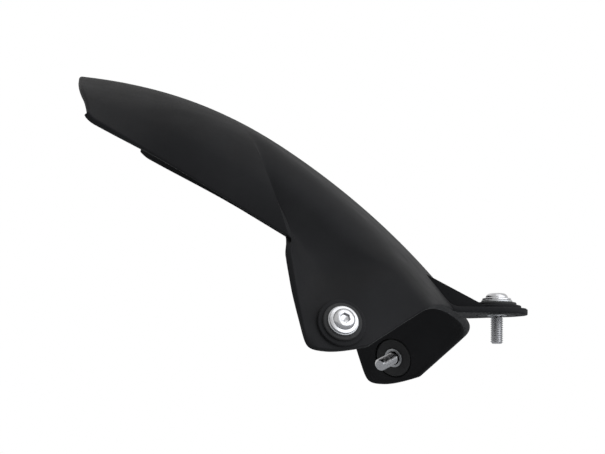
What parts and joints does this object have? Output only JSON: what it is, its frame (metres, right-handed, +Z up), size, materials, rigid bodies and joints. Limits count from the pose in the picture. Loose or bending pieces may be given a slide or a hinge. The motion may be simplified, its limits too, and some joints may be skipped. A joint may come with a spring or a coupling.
{
  "type": "motorcycle rear fender extension",
  "caption": "Arched moulded hugger that covers the front and top of a motorcycle's rear tyre, with flared side tabs and a front lug held by grommet-mounted screws.",
  "frame": {"origin": "centre of the front fixing, on the face of the bracket that its collar stands on", "axes": "+X forward along the motorcycle, +Y to its left, +Z up, with the wheel axle parallel to Y"},
  "size_m": [0.2101, 0.2218, 0.1381],
  "materials": {
    "moulded_plastic": "black moulded plastic with a fine satin grain",
    "screw_steel": "bright stainless steel",
    "collar_steel": "dull zinc-plated steel",
    "grommet_rubber": "matt black rubber"
  },
  "bodies": {
    "root": {"fender_shell": "moulded_plastic", "screw_right": "screw_steel", "screw_left": "screw_steel", "screw_front": "screw_steel", "collar_right": "collar_steel", "collar_left": "collar_steel", "collar_front": "collar_steel", "grommet_right": "grommet_rubber", "grommet_left": "grommet_rubber", "grommet_front": "grommet_rubber"}
  },
  "joints": []
}
